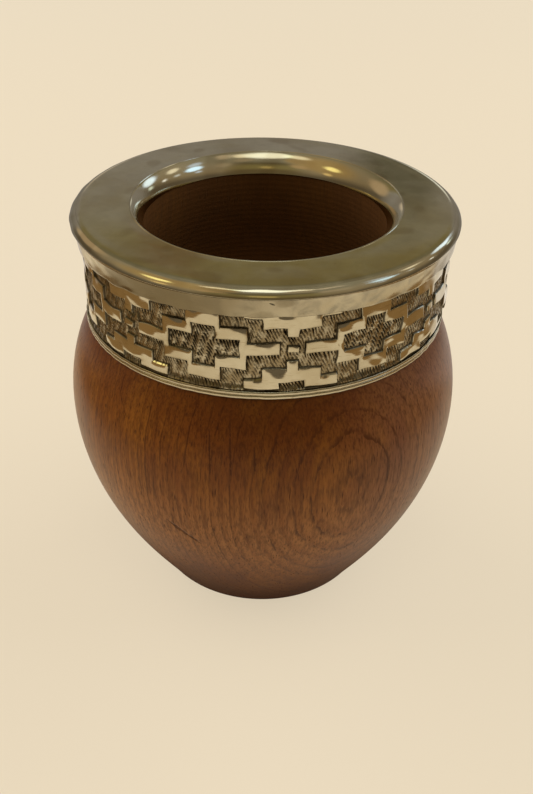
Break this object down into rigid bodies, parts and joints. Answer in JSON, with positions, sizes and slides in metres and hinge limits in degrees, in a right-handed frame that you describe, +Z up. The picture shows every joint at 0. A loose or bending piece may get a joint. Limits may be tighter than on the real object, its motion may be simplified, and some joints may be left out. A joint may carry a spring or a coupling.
{
  "type": "imperial mate cup",
  "caption": "Round-bellied turned wood mate cup with a flat nickel-silver rim, rolled mouth and a chiselled band of stepped crosses around the neck.",
  "frame": {"origin": "centre of the flat foot, on the surface the cup stands on", "axes": "+Z up along the turning axis, -Y towards the front of the frieze, +X to the right seen from the front"},
  "size_m": [0.0914, 0.0914, 0.0949],
  "materials": {
    "wood": "satin oil, fine open pores",
    "glue": "matte cured glue",
    "chiselled_metal": "polished nickel silver with blackened, hatched recesses",
    "polished_metal": "polished nickel silver with light wear"
  },
  "bodies": {
    "root": {"wood_body": "wood", "glue_bed": "glue", "frieze_band": "chiselled_metal", "border_wire": "polished_metal", "skirt_collar": "polished_metal", "rim_plate": "polished_metal", "edge_wire": "polished_metal", "mouth_lip": "polished_metal"}
  },
  "joints": []
}
